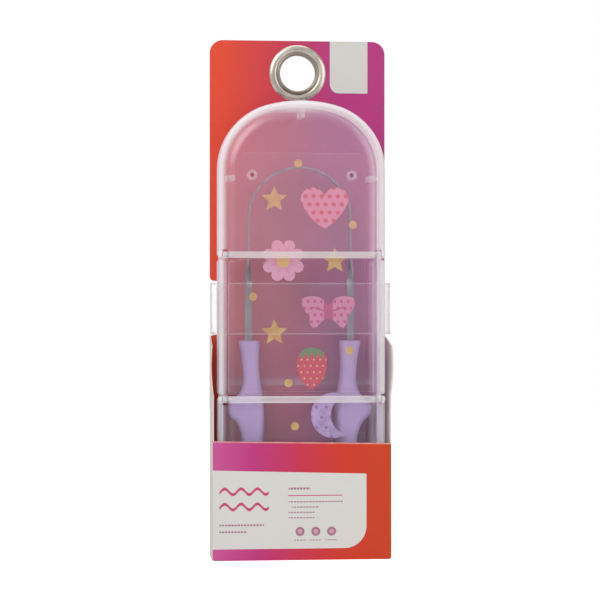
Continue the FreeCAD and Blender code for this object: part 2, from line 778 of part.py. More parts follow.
# Clear sheet that carries the stickers
def sticker_sheet():
    owner = new_body("sticker_sheet")
    sketch = sketch_on(owner, "XZ_Plane", f"{SHEET_FRONT} - Sizes.sheet_thickness")
    rectangle(
        sketch,
        "-Sizes.sheet_width / 2",
        f"{SHEET_TOP} - Sizes.sheet_height",
        "Sizes.sheet_width",
        "Sizes.sheet_height",
    )
    film = pad(owner, sketch, "Sizes.sheet_thickness")
    round_edges(owner, film, "Sizes.sheet_corner_radius", along_y)


# A place on the sheet, as shares of its half width and of its height from the top
def on_sheet(across_share, down_share):
    return at(across_share * sheet.sheet_width / 2, value(SHEET_TOP) - down_share * sheet.sheet_height)


def scaled(centre, size, shares):
    return [centre + at(size * x, size * z) for x, z in shares]


# Closed run of arcs through triples of points that share their ends
def arc_chain(spots):
    closed = spots + spots[:1]
    return [arc(*closed[i : i + 3]) for i in range(0, len(spots), 2)]


def heart(centre):
    half_shares = [(0, 0.22), (0.27, 0.4), (0.5, 0.12), (0.31, -0.2), (0, -0.46)]
    mirror_shares = [(-x, z) for x, z in half_shares[-2:0:-1]]
    return arc_chain(scaled(centre, sheet.heart_width, half_shares + mirror_shares))


def daisy(centre):
    petals = 8
    valley_share = 0.66
    spots = []
    for step in range(2 * petals):
        angle = math.pi * step / petals
        reach = sheet.daisy_radius * (1 if step % 2 else valley_share)
        spots.append(centre + at(reach * math.cos(angle), reach * math.sin(angle)))
    return arc_chain(spots)


def bow(centre):
    half_shares = [(0, 0.09), (0.24, 0.27), (0.5, 0.2), (0.44, 0.02), (0.34, -0.1)]
    half_shares += [(0.33, -0.24), (0.24, -0.33), (0.13, -0.2), (0, -0.13)]
    mirror_shares = [(-x, z) for x, z in half_shares[-2:0:-1]]
    return arc_chain(scaled(centre, sheet.bow_width, half_shares + mirror_shares))


def strawberry(centre):
    half_shares = [(0, 0.5), (0.2, 0.45), (0.34, 0.28), (0.33, -0.1), (0, -0.5)]
    mirror_shares = [(-x, z) for x, z in half_shares[-2:0:-1]]
    return arc_chain(scaled(centre, sheet.strawberry_height, half_shares + mirror_shares))


def moon(centre):
    tip_shares = [(0.55, 0.835), (-1, 0), (0.55, -0.835), (-0.12, 0)]
    return arc_chain(scaled(centre, sheet.moon_radius, tip_shares))


def star(centre):
    points = 5
    valley_share = 0.46
    spots = []
    for step in range(2 * points):
        angle = math.pi * (0.5 + step / points)
        reach = sheet.star_radius * (valley_share if step % 2 else 1)
        spots.append(centre + at(reach * math.cos(angle), reach * math.sin(angle)))
    return loop_of(spots)


def dot(centre):
    return [circle(centre, sheet.dot_radius)]


# Stickers of one kind, die-cut and lying on the front of the sheet
def stickers(label, shape, place_shares):
    sketch = doc.addObject("Sketcher::SketchObject", f"{label}_sketch")
    for across_share, down_share in place_shares:
        outline(sketch, shape(on_sheet(across_share, down_share)))
    sketch.Placement = FreeCAD.Placement(FreeCAD.Vector(), FreeCAD.Rotation(FreeCAD.Vector(1, 0, 0), 90))
    sketch.setExpression("Placement.Base.y", f"-{SHEET_FRONT}")
    group = doc.addObject("Part::Extrusion", label)
    group.Label = label
    group.Base = sketch
    group.DirMode = "Normal"
    group.Solid = True
    group.setExpression("LengthFwd", "Sizes.sticker_thickness")
    pieces.append(group)


# Steel strip: a turned arch, two upper arms on edge, a quarter twist and two flat lower arms with their tangs
def scraper_band():
    owner = new_body("scraper_band")
    owner.setExpression("Placement.Base.y", f"-{SCRAPER_DEPTH}")
    owner.setExpression("Placement.Base.z", ARCH_CENTRE)
    arch = sketch_on(owner, "XY_Plane")
    rectangle(
        arch,
        "Sizes.arch_radius - Sizes.strip_thickness / 2",
        "-Sizes.strip_width / 2",
        "Sizes.strip_thickness",
        "Sizes.strip_width",
    )
    revolve(owner, arch, "V_Axis", 180, backwards=True)
    twist_steps = 6
    for side in (-1, 1):
        upper = sketch_on(owner, "XY_Plane")
        strip_section(upper, side, 0)
        pad(owner, upper, "Sizes.upper_arm", backwards=True)
        sections = []
        for step in range(twist_steps + 1):
            share = step / twist_steps
            section = sketch_on(owner, "XY_Plane", f"-Sizes.upper_arm - Sizes.twist_length * {share}")
            strip_section(section, side, share * math.pi / 2)
            sections.append(section)
        loft(owner, sections, True)
        lower = sketch_on(owner, "XY_Plane", "-Sizes.upper_arm - Sizes.twist_length")
        strip_section(lower, side, math.pi / 2)
        pad(owner, lower, "Sizes.lower_arm + Sizes.tang_length", backwards=True)


# The strip's section in one arm, turned by an angle about the arm
def strip_section(sketch, side, angle):
    thick = sheet.strip_thickness / 2
    wide = sheet.strip_width / 2
    centre = at(side * sheet.arch_radius, 0)
    across = at(math.cos(angle), side * math.sin(angle))
    along = at(-side * math.sin(angle), math.cos(angle))
    signs = ((-1, -1), (1, -1), (1, 1), (-1, 1))
    made = outline(sketch, loop_of([centre + across * (a * thick) + along * (b * wide) for a, b in signs]))
    drive(sketch, "Distance", (made[0], 1, made[0], 2), "Sizes.strip_thickness")
    drive(sketch, "Distance", (made[1], 1, made[1], 2), "Sizes.strip_width")


# A handle: a flat moulded grip with a flared collar, a thumb wing on its outer side and a rounded end
def handle(label, side):
    # Shares of the wing's reach, outward of the grip's middle, and of the handle's length, downward
    outer_shares = ((0.54, 0.0), (0.4, 0.1), (0.42, 0.25), (1.0, 0.35), (0.52, 0.45), (0.38, 0.53))
    inner_shares = ((-0.52, 0.36), (-0.3, 0.11), (-0.35, 0.0))
    waist_share = 0.62
    owner = new_body(label)
    owner.setExpression("Placement.Base.x", f"{side} * {GRIP_ACROSS}")
    owner.setExpression("Placement.Base.y", f"-{SCRAPER_DEPTH}")
    owner.setExpression("Placement.Base.z", HANDLE_TOP)
    length = sheet.handle_length
    radius = sheet.handle_end_radius

    def spots(shares):
        return [at(side * sheet.wing_reach * out, -length * drop) for out, drop in shares]

    outer_foot = [at(side * radius, -length * waist_share), at(side * radius, radius - length)]
    inner_foot = [at(-side * radius, radius - length), at(-side * radius, -length * waist_share)]
    outer_run = spots(outer_shares) + outer_foot
    inner_run = inner_foot + spots(inner_shares)
    edges = smooth_run(outer_run)
    edges.append(arc(outer_run[-1], at(0, -length), inner_run[0]))
    edges += smooth_run(inner_run)
    edges.append(line(inner_run[-1], outer_run[0]))
    sketch = sketch_on(owner, "XZ_Plane")
    outline(sketch, edges)
    grip = pad(owner, sketch, "Sizes.handle_thickness", both_ways=True)

    def at_top(box):
        return close(box.ZMin, 0) and close(box.ZMax, 0)

    long_edges = round_edges(
        owner, grip, "Sizes.handle_edge_radius", lambda box: close(box.YMin, box.YMax) and not at_top(box)
    )
    round_edges(owner, long_edges, "Sizes.handle_top_rounding", at_top)
    tang = sketch_on(owner, "XY_Plane")
    rectangle(
        tang,
        f"{side} * Sizes.handle_lean - Sizes.strip_width / 2",
        "-Sizes.strip_thickness / 2",
        "Sizes.strip_width",
        "Sizes.strip_thickness",
    )
    pocket(owner, tang, "Sizes.tang_length")


back_card()
sleeve()
eyelet()
clear_band()
case_tray()
mid_cover()
lid("upper_lid", "Sizes.lid_length", UPPER_SEAM, 0)
lid("lower_lid", "Sizes.lower_lid_length", LOWER_SEAM, 180)
hinge_pins("upper_hinge_pins", UPPER_SEAM)
hinge_pins("lower_hinge_pins", LOWER_SEAM)
sticker_sheet()
stickers("heart_sticker", heart, [(0.36, 0.15)])
stickers("daisy_sticker", daisy, [(-0.28, 0.3)])
stickers("bow_sticker", bow, [(0.42, 0.44)])
stickers("strawberry_sticker", strawberry, [(0.16, 0.6)])
stickers("moon_sticker", moon, [(0.5, 0.73)])
stickers("star_stickers", star, [(-0.42, 0.13), (0.52, 0.3), (-0.42, 0.5)])
dot_shares = [(-0.05, 0.03), (0.8, 0.2), (-0.75, 0.4), (0.75, 0.55), (-0.2, 0.64), (-0.1, 0.76)]
stickers("dot_stickers", dot, dot_shares)
scraper_band()
handle("handle_left", -1)
handle("handle_right", 1)
doc.recompute()

for item in doc.Objects:
    if {"Invalid", "Error"} & set(item.State):
        raise RuntimeError(f"{item.Label} failed: {item.State}")
for piece in pieces:
    if piece.Shape.isNull() or not piece.Shape.isValid():
        raise RuntimeError(f"{piece.Label} has no valid shape")

os.makedirs("parts", exist_ok=True)
for piece in pieces:
    piece.Shape.exportStep(f"parts/{piece.Label}.step")
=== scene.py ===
import math

import bpy
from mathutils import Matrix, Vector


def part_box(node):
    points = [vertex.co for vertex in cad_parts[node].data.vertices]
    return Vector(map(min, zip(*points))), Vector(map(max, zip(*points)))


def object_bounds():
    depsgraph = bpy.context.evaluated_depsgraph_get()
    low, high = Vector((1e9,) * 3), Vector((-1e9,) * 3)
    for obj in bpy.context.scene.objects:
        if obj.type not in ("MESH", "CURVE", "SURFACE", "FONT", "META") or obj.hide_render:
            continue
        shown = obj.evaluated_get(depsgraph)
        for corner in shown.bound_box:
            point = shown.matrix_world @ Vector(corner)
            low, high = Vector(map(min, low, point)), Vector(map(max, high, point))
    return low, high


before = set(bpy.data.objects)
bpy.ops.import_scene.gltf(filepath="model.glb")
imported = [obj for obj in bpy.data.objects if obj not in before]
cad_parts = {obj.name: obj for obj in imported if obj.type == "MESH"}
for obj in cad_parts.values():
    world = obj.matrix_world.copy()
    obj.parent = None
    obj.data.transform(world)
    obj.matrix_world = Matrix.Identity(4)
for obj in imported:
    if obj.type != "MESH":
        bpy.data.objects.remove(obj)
cad_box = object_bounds()

# Hang card
# A die-cut sheet of white board, offset-printed on the front with ink that runs from orange-red to magenta,
# and sealed with a satin varnish. Its cut edges show the pale core, and its back is plain board.
MM = 0.001
PRINT_EDGE = 0.05 * MM
BOARD_WHITE = (0.80, 0.735, 0.675)
FIBRE_SHADE = (0.50, 0.46, 0.41)
PANEL_WHITE = (0.755, 0.745, 0.71)
ORANGE_INK = (0.80, 0.086, 0.047)
ROSE_INK = (0.60, 0.060, 0.090)
MAGENTA_INK = (0.485, 0.053, 0.225)


def start_material(name):
    material = bpy.data.materials.new(name)
    material.use_nodes = True
    material.node_tree.nodes.clear()
    return material


def put(material, kind, sockets, output=0):
    """Adds a node, sets or joins the sockets named, and gives back one of its outputs, if it has any."""
    node = material.node_tree.nodes.new(kind)
    for name, value in sockets.items():
        if isinstance(value, bpy.types.NodeSocket):
            material.node_tree.links.new(value, node.inputs[name])
        elif isinstance(value, tuple) and len(value) == 3 and node.inputs[name].type == "RGBA":
            node.inputs[name].default_value = (*value, 1.0)
        else:
            node.inputs[name].default_value = value
    return node.outputs[output] if node.outputs else None


def sums(material, operation, first, second=0.0, third=0.0):
    result = put(material, "ShaderNodeMath", {0: first, 1: second, 2: third})
    result.node.operation = operation
    return result


def place(material):
    """Where a point lies on the piece at rest: the place itself, and its three parts."""
    where = put(material, "ShaderNodeTexCoord", {}, "Object")
    parts = put(material, "ShaderNodeSeparateXYZ", {"Vector": where}).node.outputs
    return where, parts["X"], parts["Y"], parts["Z"]


def facing(material):
    """Which way the surface faces on the piece at rest, in three parts."""
    way = put(material, "ShaderNodeTexCoord", {}, "Normal")
    parts = put(material, "ShaderNodeSeparateXYZ", {"Vector": way}).node.outputs
    return parts["X"], parts["Y"], parts["Z"]


def step_between(material, amount, none_at, all_at):
    """Goes smoothly from 0, where amount is none_at, to 1, where it is all_at."""
    result = put(
        material,
        "ShaderNodeMapRange",
        {"Value": amount, "From Min": none_at, "From Max": all_at, "To Min": 0.0, "To Max": 1.0},
    )
    result.node.interpolation_type = "SMOOTHSTEP"
    return result


def fade(material, amount, stops):
    """A colour that runs through the stops, each a share of the way and a colour."""
    result = put(material, "ShaderNodeValToRGB", {"Fac": amount})
    ramp = result.node.color_ramp
    while len(ramp.elements) < len(stops):
        ramp.elements.new(0.5)
    for element, (share, colour) in zip(ramp.elements, stops):
        element.position = share
        element.color = (*colour, 1.0)
    return result


def mixed(material, share, first, second):
    """A colour between first and second."""
    node = material.node_tree.nodes.new("ShaderNodeMix")
    node.data_type = "RGBA"
    for socket, value in ((node.inputs[0], share), (node.inputs[6], first), (node.inputs[7], second)):
        if isinstance(value, bpy.types.NodeSocket):
            material.node_tree.links.new(value, socket)
        else:
            socket.default_value = value if isinstance(value, float) else (*value, 1.0)
    return node.outputs[2]


def noise(material, where, scale, detail=2.0, stretch=None):
    if stretch:
        where = put(material, "ShaderNodeVectorMath", {0: where, 1: stretch})
        where.node.operation = "MULTIPLY"
    return put(material, "ShaderNodeTexNoise", {"Vector": where, "Scale": scale, "Detail": detail})


def bump(material, height, depth, strength=1.0):
    return put(material, "ShaderNodeBump", {"Height": height, "Distance": depth, "Strength": strength})


def finish(material, shader):
    put(material, "ShaderNodeOutputMaterial", {"Surface": shader})
    return material


def apart(material, amount, middle):
    """How far amount is from middle, either way."""
    return sums(material, "ABSOLUTE", sums(material, "SUBTRACT", amount, middle))


def length_of(material, beside, above):
    squares = [sums(material, "MULTIPLY", part, part) for part in (beside, above)]
    return sums(material, "SQRT", sums(material, "ADD", *squares))


def patch(material, across, up, low, high, corner):
    """1 inside an upright rectangle with round corners, 0 outside."""
    over = []
    for amount, start, end in ((across, low[0], high[0]), (up, low[1], high[1])):
        offset = apart(material, amount, (start + end) / 2)
        over.append(sums(material, "SUBTRACT", offset, (end - start) / 2 - corner))
    outside = [sums(material, "MAXIMUM", side, 0.0) for side in over]
    inner_part = sums(material, "MINIMUM", sums(material, "MAXIMUM", *over), 0.0)
    distance = sums(material, "ADD", length_of(material, *outside), inner_part)
    return step_between(material, distance, corner + PRINT_EDGE, corner - PRINT_EDGE)


def dress(material, *node_names):
    """Gives CAD pieces their finish."""
    for node_name in node_names:
        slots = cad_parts[node_name].data.materials
        slots.clear()
        slots.append(material)


def board(name, front_print=None):
    """Coated board: printed where it faces front, pale on its cut edges and its back."""
    material = start_material(name)
    where, across, _, up = place(material)
    fibres = noise(material, where, 900.0, 4.0)
    cloud = noise(material, where, 45.0, 2.0)
    pale = fade(material, cloud, [(0.3, BOARD_WHITE), (0.7, tuple(0.94 * c for c in BOARD_WHITE))])
    colour = mixed(material, sums(material, "MULTIPLY", fibres, 0.12), pale, FIBRE_SHADE)
    rough = sums(material, "MULTIPLY_ADD", fibres, 0.20, 0.52)
    if front_print:
        _, front, _ = facing(material)
        printed = step_between(material, front, -0.4, -0.7)
        colour = mixed(material, printed, colour, front_print(material, where, across, up))
        varnish = sums(material, "MULTIPLY_ADD", cloud, 0.10, 0.33)
        rough = put(material, "ShaderNodeMix", {0: printed, 2: rough, 3: varnish})
    surface = put(
        material,
        "ShaderNodeBsdfPrincipled",
        {
            "Base Color": colour,
            "Roughness": rough,
            "Specular IOR Level": 0.14,
            "Normal": bump(material, fibres, 0.03 * MM, 0.5),
        },
    )
    return finish(material, surface)


card_low, card_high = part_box("back_card")
TAB_LEFT = 13.8 * MM
TAB_RIGHT = 29.9 * MM
TAB_FOOT = -8.2 * MM
TAB_CORNER = 3.8 * MM
TAB_WHITE = (0.69, 0.685, 0.645)
PRINT_OVERRUN = 40 * MM


def card_print(material, where, across, up):
    share = sums(
        material, "DIVIDE", sums(material, "SUBTRACT", across, card_low.x), card_high.x - card_low.x
    )
    ink = fade(material, share, [(0.08, ORANGE_INK), (0.40, ROSE_INK), (0.72, MAGENTA_INK)])
    tab = patch(
        material, across, up, (TAB_LEFT, TAB_FOOT), (TAB_RIGHT + PRINT_OVERRUN, PRINT_OVERRUN), TAB_CORNER
    )
    inside = step_between(material, across, TAB_RIGHT + PRINT_EDGE, TAB_RIGHT - PRINT_EDGE)
    return mixed(material, sums(material, "MULTIPLY", tab, inside), ink, TAB_WHITE)


dress(board("hang_card_print", card_print), "back_card")

# Sleeve
# The same board folded forward under the case and up its front and sides. The front panel is printed the
# other way round, with a white field that holds waves, a rule, rows of dashes and discs.
front_low, front_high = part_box("sleeve_front")
FIELD_RIGHT = 26.8 * MM
FIELD_TOP = -167.5 * MM
FIELD_TILT = 0.027
FIELD_FOOT = -199.1 * MM
FIELD_CORNER = 9.1 * MM
ROSE_LINE = (0.62, 0.075, 0.19)
MAUVE_LINE = (0.42, 0.20, 0.29)
PALE_ROSE = (0.66, 0.38, 0.44)
WAVE_HEIGHTS = (-175.3 * MM, -181.6 * MM)
WAVE_REACH = 1.2 * MM
WAVE_TURN = math.tau / (6.8 * MM)
WAVE_LEFT = -34.5 * MM
WAVE_RIGHT = -14.0 * MM
WAVE_ROOM = 4 * MM
LINE_HALF = 0.64 * MM
LINE_EDGE = 0.06 * MM
RULE_LEFT = -6.0 * MM
RULE_RIGHT = 16.6 * MM
RULE_FOOT = -177.3 * MM
RULE_TOP = -176.9 * MM
SMALL_CORNER = 0.1 * MM
DASH_STEP = 1.3 * MM
# Rows of short dashes: where each starts and ends, its height and its thickness, in millimetres
DASHES = (
    (-34.5, -16.0, -189.2, 0.7),
    (-34.5, -23.0, -192.0, 0.7),
    (-5.8, 3.2, -174.2, 0.9),
    (-5.8, 17.0, -179.7, 0.5),
    (-4.4, 7.0, -181.9, 0.5),
    (-5.8, 5.0, -184.1, 0.5),
    (-5.8, 5.0, -186.3, 0.5),
    (-3.4, 1.4, -195.6, 0.4),
    (3.2, 8.0, -195.6, 0.4),
    (9.8, 14.6, -195.6, 0.4),
)
# Painted highlight along the front panel's top edge: how far it drops across the panel, how deep it
# reaches, and its colour
EDGE_DROP = 1.2 * MM
EDGE_HIGHLIGHT_DEPTH = 0.8 * MM
EDGE_HIGHLIGHT_INK = (0.86, 0.42, 0.34)
DISC = 1.9 * MM
DISC_HEIGHT = -192.0 * MM
DISC_MIDDLES = (-1.0 * MM, 5.6 * MM, 12.2 * MM)


def sleeve_print(material, where, across, up):
    share = sums(
        material, "DIVIDE", sums(material, "SUBTRACT", across, front_low.x), front_high.x - front_low.x
    )
    ink = fade(
        material,
        share,
        [
            (0.0, (0.64, 0.108, 0.33)),
            (0.24, (0.555, 0.050, 0.225)),
            (0.48, (0.625, 0.046, 0.094)),
            (0.70, (0.68, 0.052, 0.034)),
            (1.0, (0.62, 0.066, 0.020)),
        ],
    )
    field_low = (front_low.x - PRINT_OVERRUN, FIELD_FOOT)
    field_high = (FIELD_RIGHT, FIELD_TOP + PRINT_OVERRUN)
    field = patch(material, across, up, field_low, field_high, FIELD_CORNER)
    level = sums(material, "MULTIPLY_ADD", across, FIELD_TILT, up)
    below = step_between(material, level, FIELD_TOP + PRINT_EDGE, FIELD_TOP - PRINT_EDGE)
    colour = mixed(material, sums(material, "MULTIPLY", field, below), ink, PANEL_WHITE)
    swing = sums(material, "SINE", sums(material, "MULTIPLY", across, WAVE_TURN))
    for height in WAVE_HEIGHTS:
        wave = sums(material, "MULTIPLY_ADD", swing, WAVE_REACH, height)
        off_wave = apart(material, up, wave)
        line = step_between(material, off_wave, LINE_HALF + LINE_EDGE, LINE_HALF - LINE_EDGE)
        wave_low = (WAVE_LEFT, height - WAVE_ROOM)
        wave_high = (WAVE_RIGHT, height + WAVE_ROOM)
        span = patch(material, across, up, wave_low, wave_high, 5 * SMALL_CORNER)
        colour = mixed(material, sums(material, "MULTIPLY", line, span), colour, ROSE_LINE)
    rule = patch(material, across, up, (RULE_LEFT, RULE_FOOT), (RULE_RIGHT, RULE_TOP), SMALL_CORNER)
    colour = mixed(material, rule, colour, ROSE_LINE)
    dash = sums(material, "FRACT", sums(material, "DIVIDE", across, DASH_STEP))
    dash = step_between(material, dash, 0.20, 0.28)
    for start, end, height, thick in DASHES:
        row_low = (start * MM, (height - thick / 2) * MM)
        row_high = (end * MM, (height + thick / 2) * MM)
        row = patch(material, across, up, row_low, row_high, SMALL_CORNER)
        colour = mixed(material, sums(material, "MULTIPLY", row, dash), colour, MAUVE_LINE)
    for middle in DISC_MIDDLES:
        reach = length_of(
            material,
            sums(material, "SUBTRACT", across, middle),
            sums(material, "SUBTRACT", up, DISC_HEIGHT),
        )
        for radius, disc_ink in ((DISC, MAUVE_LINE), (DISC / 2, PALE_ROSE)):
            disc = step_between(material, reach, radius + PRINT_EDGE, radius - PRINT_EDGE)
            colour = mixed(material, disc, colour, disc_ink)
    # A painted highlight along the top edge, broken into patches by noise
    edge = sums(material, "SUBTRACT", up, sums(material, "MULTIPLY_ADD", share, -EDGE_DROP, front_high.z))
    highlight_patches = sums(material, "MULTIPLY", noise(material, where, 300.0, 3.0), 1.4)
    lit_top_edge = sums(material, "MULTIPLY", step_between(material, edge, -EDGE_HIGHLIGHT_DEPTH, -0.3 * EDGE_HIGHLIGHT_DEPTH), highlight_patches)
    return mixed(material, lit_top_edge, colour, EDGE_HIGHLIGHT_INK)


for node_name, front_print in (
    ("sleeve_front", sleeve_print),
    ("sleeve_left", None),
    ("sleeve_right", None),
    ("sleeve_floor", None),
):
    dress(board(node_name + "_board", front_print), node_name)

# Eyelet and washer
# A drawn brass eyelet with an aged nickel plate, clinched through the card over a plain washer at the back.
# The plate is polished on its dome. Its hollows are darker in colour: some tarnish, and painted shade where
# the hollows lie in shadow.
HOLLOW_OUTSIDE = 9.8 * MM
HOLLOW_INSIDE = 8.6 * MM
TARNISH_AND_SHADE = (0.155, 0.125, 0.105)
nickel = start_material("aged_nickel")
nickel_place, nickel_across, _, nickel_up = place(nickel)
nickel_wear = noise(nickel, nickel_place, 160.0, 5.0)
nickel_colour = fade(nickel, nickel_wear, [(0.30, (0.30, 0.265, 0.225)), (0.65, (0.46, 0.425, 0.375))])
nickel_reach = length_of(nickel, nickel_across, nickel_up)
# Painted shade with tarnish: the hollow between the dome and the rim is darkened in the colour
nickel_shaded_hollow = step_between(nickel, nickel_reach, HOLLOW_OUTSIDE, HOLLOW_INSIDE)
nickel_tarnish_and_shade = sums(nickel, "MULTIPLY", nickel_shaded_hollow, 0.8)
nickel_colour = mixed(nickel, nickel_tarnish_and_shade, nickel_colour, TARNISH_AND_SHADE)
nickel_rough = sums(nickel, "MULTIPLY_ADD", nickel_wear, 0.14, 0.20)
nickel_scratches = noise(nickel, nickel_place, 420.0, 3.0, (1.0, 1.0, 8.0))
nickel_surface = put(
    nickel,
    "ShaderNodeBsdfPrincipled",
    {
        "Base Color": nickel_colour,
        "Metallic": 1.0,
        "Roughness": nickel_rough,
        "Normal": bump(nickel, nickel_scratches, 0.02 * MM, 0.12),
    },
)
finish(nickel, nickel_surface)
dress(nickel, "eyelet", "eyelet_washer")

# Travel case
# Tray, two hinged lids and the bridge between them, all injection-moulded in frosted polypropylene about
# 1.4 mm thick. It is milky: its flats show what is behind them, and its edges and hinge barrels look white.
MILKY_WHITE = (0.95, 0.91, 0.92)
MILKY_FLAT = (0.88, 0.68, 0.94)
MILKY_TINT = (0.965, 0.97, 0.99)
# Warmer, paler milk and a clearer tint for the upper pieces: painted light, as if more light fell on them
# from above
LIT_MILK = (1.0, 0.71, 0.91)
LIT_TINT = (1.0, 0.98, 0.985)
RIM_WIDTH = 4.8 * MM
SIDE_HAZE = 0.04
EDGE_HAZE = 0.60
BARREL_HAZE = 0.30
THICK_HAZE = 0.13
DOME_FOOT = 3.4 * MM
DOME_HEAD = 8.0 * MM
DOME_RISE = 1.3 * MM
DOME_POLISH = 0.24
ONWARD_SHARE = 0.75
# A milkier, paler band across the tray's flats between these two heights, sharp at its foot
PALE_BAND_TOP = -127.2 * MM
PALE_BAND_FOOT = -131.8 * MM
PALE_BAND_HAZE = 0.15
lid_low, lid_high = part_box("upper_lid")
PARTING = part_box("case_tray")[0].y
CASE_HALF = lid_high.x
CORNER_RADIUS = 28.0 * MM
CROWN_RADIUS = 54.0 * MM
CORNER_ACROSS = CASE_HALF - CORNER_RADIUS
CROWN_RISE = math.sqrt((CROWN_RADIUS - CORNER_RADIUS) ** 2 - CORNER_ACROSS**2)
BARREL_RADIUS = 1.4 * MM
VENT_ACROSS = 20.8 * MM
VENT_LEVEL = 33.2 * MM
VENT_RIM = 2.1 * MM
VENT_HOLE = 0.95 * MM
TONGUE_HALF = 1.15 * MM
TONGUE_FROM_TIP = 3.4 * MM
TONGUE_TO = 7.3 * MM
GUIDE_LEVEL = 31.9 * MM
GUIDE_HALF = 1.1 * MM
GUIDE_INSIDE = 28.0 * MM
GUIDE_OUTSIDE = 31.3 * MM
SPOT_CORNER = 0.2 * MM


def between(corners):
    return (corners[0].z + corners[1].z) / 2


SEAMS = (between(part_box("upper_hinge_pins")), between(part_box("lower_hinge_pins")))
# Each end of the case: its outermost height, its hinge line and which way it points
ENDS = ((lid_high.z, SEAMS[0], 1), (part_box("lower_lid")[0].z, SEAMS[1], -1))


def thin_plastic(material, haze, milk, tint, polish, gloss_rough, normal):
    """A wall seen through: haze is how much of the milky colour one face lays over what is behind it."""
    slant = put(material, "ShaderNodeLayerWeight", {"Blend": 0.5}, "Facing")
    upright = sums(material, "MAXIMUM", sums(material, "SUBTRACT", 1.0, slant), 0.07)
    cover = sums(material, "MINIMUM", sums(material, "DIVIDE", haze, upright), 0.85)
    clear = put(material, "ShaderNodeBsdfTransparent", {"Color": tint})
    body = put(material, "ShaderNodeBsdfDiffuse", {"Color": milk})
    wall = put(material, "ShaderNodeMixShader", {0: cover, 1: clear, 2: body})
    gloss = put(material, "ShaderNodeBsdfGlossy", {"Roughness": gloss_rough, "Normal": normal})
    shine = sums(material, "MULTIPLY_ADD", sums(material, "POWER", slant, 5.0), 0.4, polish)
    return put(material, "ShaderNodeMixShader", {0: shine, 1: wall, 2: gloss})


def inside_outline(material, sideways, up):
    """How far a point lies inside the outline of the case, seen from the front."""
    inside = sums(material, "SUBTRACT", CASE_HALF, sideways)
    beside = sums(material, "MAXIMUM", sums(material, "SUBTRACT", sideways, CORNER_ACROSS), 0.0)
    for tip, _, way in ENDS:
        crown_height = tip - way * CROWN_RADIUS
        rise = sums(material, "MULTIPLY_ADD", up, way, -way * crown_height)
        past = sums(material, "MAXIMUM", sums(material, "SUBTRACT", rise, CROWN_RISE), 0.0)
        corner = sums(material, "SUBTRACT", CORNER_RADIUS, length_of(material, past, beside))
        near_tip = step_between(material, rise, 0.0, 1.0 * MM)
        reach = sums(material, "MULTIPLY", length_of(material, rise, sideways), near_tip)
        crown = sums(material, "SUBTRACT", CROWN_RADIUS, reach)
        inside = sums(material, "MINIMUM", inside, sums(material, "MINIMUM", corner, crown))
    return inside


def thick_spots(material, sideways, up):
    """1 on the vent rims and tongues, where the moulding is thicker."""
    total = 0.0
    for tip, seam, way in ENDS:
        rise = sums(material, "SUBTRACT", up, seam + way * VENT_LEVEL)
        beside = sums(material, "SUBTRACT", sideways, VENT_ACROSS)
        reach = length_of(material, rise, beside)
        ring = sums(
            material,
            "MULTIPLY",
            step_between(material, reach, VENT_RIM + 0.15 * MM, VENT_RIM - 0.1 * MM),
            step_between(material, reach, VENT_HOLE - 0.1 * MM, VENT_HOLE + 0.15 * MM),
        )
        total = sums(material, "ADD", ring, total)
        foot, head = sorted((tip - way * TONGUE_FROM_TIP, tip - way * TONGUE_TO))
        tongue = patch(material, sideways, up, (-TONGUE_HALF, foot), (TONGUE_HALF, head), SPOT_CORNER)
        total = sums(material, "ADD", tongue, total)
        level = seam + way * GUIDE_LEVEL
        guide_low = (GUIDE_INSIDE, level - GUIDE_HALF)
        guide_high = (GUIDE_OUTSIDE, level + GUIDE_HALF)
        guide = patch(material, sideways, up, guide_low, guide_high, SPOT_CORNER)
        total = sums(material, "ADD", guide, total)
    return total


